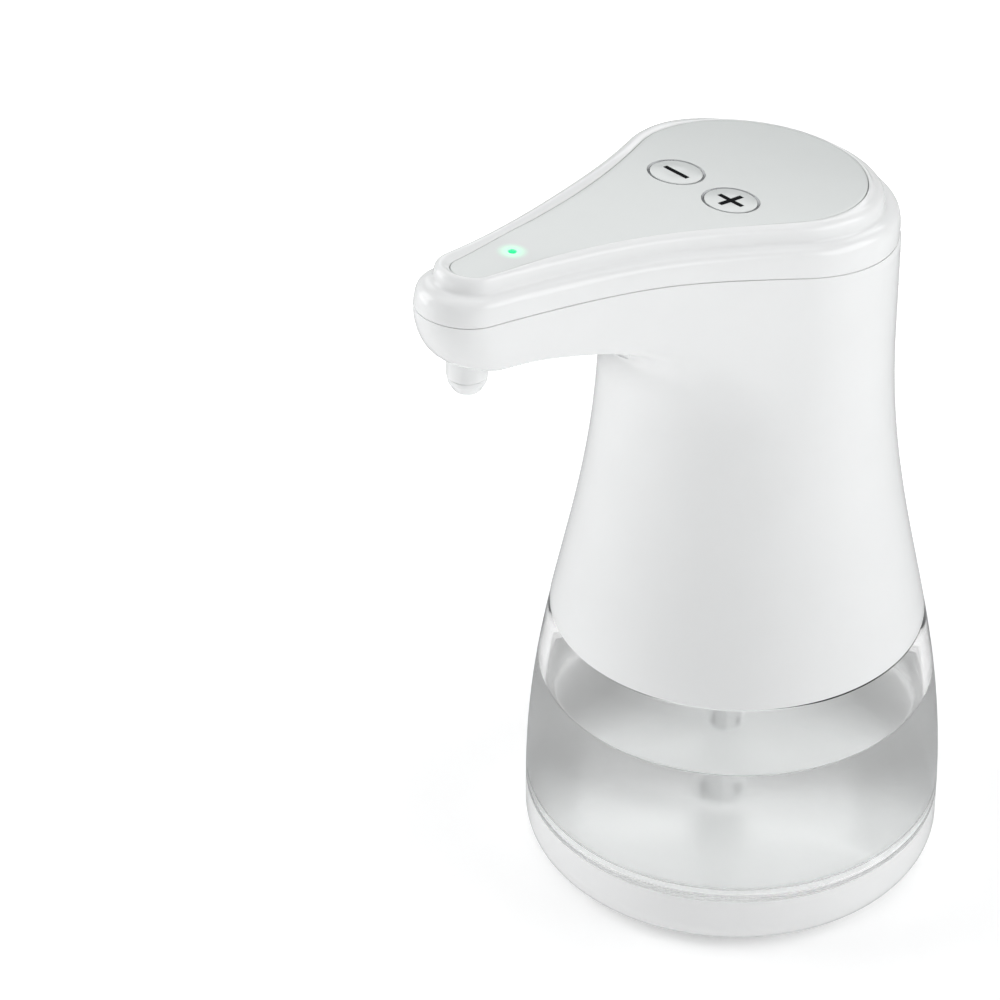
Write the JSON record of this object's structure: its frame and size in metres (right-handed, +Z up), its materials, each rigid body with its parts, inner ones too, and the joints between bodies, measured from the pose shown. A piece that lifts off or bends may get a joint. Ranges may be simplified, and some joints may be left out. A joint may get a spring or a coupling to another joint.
{
  "type": "automatic soap dispenser",
  "caption": "Touch-free soap dispenser: clear round tank on a white foot, and a twist-off pump head with a long teardrop spout, two buttons and an infrared sensor.",
  "frame": {"origin": "centre of the non-slip pad's underside, where it stands", "axes": "+Z up along the tank's axis; the spout reaches towards -Y; +X is to the right seen from behind the spout"},
  "size_m": [0.0998, 0.1486, 0.1967],
  "materials": {
    "white_gloss": "glossy moulded",
    "panel_grey": "satin moulded",
    "clear_plastic": "clear, polished",
    "smoked_window": "smoked, passes infrared",
    "light_green": "clear green",
    "ring_grey": "polished grey",
    "inner_plastic": "moulded",
    "pump_plastic": "natural moulded",
    "gear_plastic": "natural moulded",
    "steel": "turned",
    "motor_metal": "plated",
    "contact_metal": "nickel plated sheet",
    "cell_wrap": "plain film wrap",
    "board_green": "solder mask",
    "black_plastic": "moulded",
    "silicone": "translucent",
    "rubber_grey": "matt"
  },
  "bodies": {
    "reservoir": {"soap_tank": "clear_plastic", "base_foot": "white_gloss", "anti_slip_pad": "rubber_grey"},
    "seal_ring": {"tank_seal": "silicone"},
    "head": {"main_shell": "white_gloss", "top_cover": "white_gloss", "top_panel": "panel_grey", "minus_button_ring": "ring_grey", "plus_button_ring": "ring_grey", "led_lens": "light_green", "control_board": "board_green", "minus_switch": "black_plastic", "plus_switch": "black_plastic", "status_led": "light_green", "chassis": "inner_plastic", "battery_case": "inner_plastic", "battery_cell_1": "cell_wrap", "battery_cell_2": "cell_wrap", "battery_cell_3": "cell_wrap", "battery_cell_4": "cell_wrap", "contact_positive": "contact_metal", "contact_negative": "contact_metal", "contact_bridge_top": "contact_metal", "pump_housing": "pump_plastic", "pump_cover": "pump_plastic", "motor_can": "motor_metal", "motor_end_cap": "black_plastic", "motor_bracket": "inner_plastic", "suction_tube": "pump_plastic", "inlet_strainer": "pump_plastic", "outlet_hose": "silicone", "nozzle_collar": "white_gloss", "nozzle_tip": "white_gloss", "duckbill_valve": "silicone", "ir_window": "smoked_window", "sensor_board": "board_green", "ir_emitter": "black_plastic", "ir_receiver": "black_plastic", "chassis_screw_1": "steel", "chassis_screw_2": "steel", "chassis_screw_3": "steel", "chassis_screw_4": "steel"},
    "minus_button": {"minus_button": "panel_grey"},
    "plus_button": {"plus_button": "panel_grey"},
    "battery_door": {"battery_door": "inner_plastic", "battery_door_seal": "silicone", "contact_bridge_door_1": "contact_metal", "contact_bridge_door_2": "contact_metal"},
    "pump_drive": {"pump_shaft": "steel", "pump_driver_gear": "gear_plastic", "drive_gear": "gear_plastic"},
    "pump_idler": {"pump_idler_gear": "gear_plastic"},
    "motor_rotor": {"motor_shaft": "steel", "motor_pinion": "gear_plastic"}
  },
  "joints": [
    {"name": "head_lift", "type": "slide", "parent": "reservoir", "child": "seal_ring", "axis": [0, 0, 1], "range_m": [0, 0.13]},
    {"name": "head_twist", "type": "hinge", "parent": "seal_ring", "child": "head", "pos_m": [0, 0, 0.075], "axis": [0, 0, 1], "range_deg": [0, 30]},
    {"name": "minus_press", "type": "slide", "parent": "head", "child": "minus_button", "axis": [0, -0.1336, -0.991], "range_m": [0, 0.0005], "stiffness_N_per_m": 800, "springref_m": -0.001},
    {"name": "plus_press", "type": "slide", "parent": "head", "child": "plus_button", "axis": [0, -0.1336, -0.991], "range_m": [0, 0.0005], "stiffness_N_per_m": 800, "springref_m": -0.001},
    {"name": "battery_door_slide", "type": "slide", "parent": "head", "child": "battery_door", "axis": [0, 0, -1], "range_m": [0, 0.04]},
    {"name": "pump_spin", "type": "hinge", "parent": "head", "child": "pump_drive", "pos_m": [0.005, -0.017, 0.09], "axis": [0, 0, 1], "continuous": true},
    {"name": "idler_spin", "type": "hinge", "parent": "head", "child": "pump_idler", "pos_m": [-0.005, -0.017, 0.09], "axis": [0, 0, 1], "continuous": true},
    {"name": "motor_spin", "type": "hinge", "parent": "head", "child": "motor_rotor", "pos_m": [-0.00705, -0.017, 0.1], "axis": [0, 0, 1], "continuous": true}
  ],
  "couplings": [
    {"joint": "idler_spin", "follows": "pump_spin", "ratio": -1},
    {"joint": "motor_spin", "follows": "pump_spin", "ratio": -3}
  ]
}
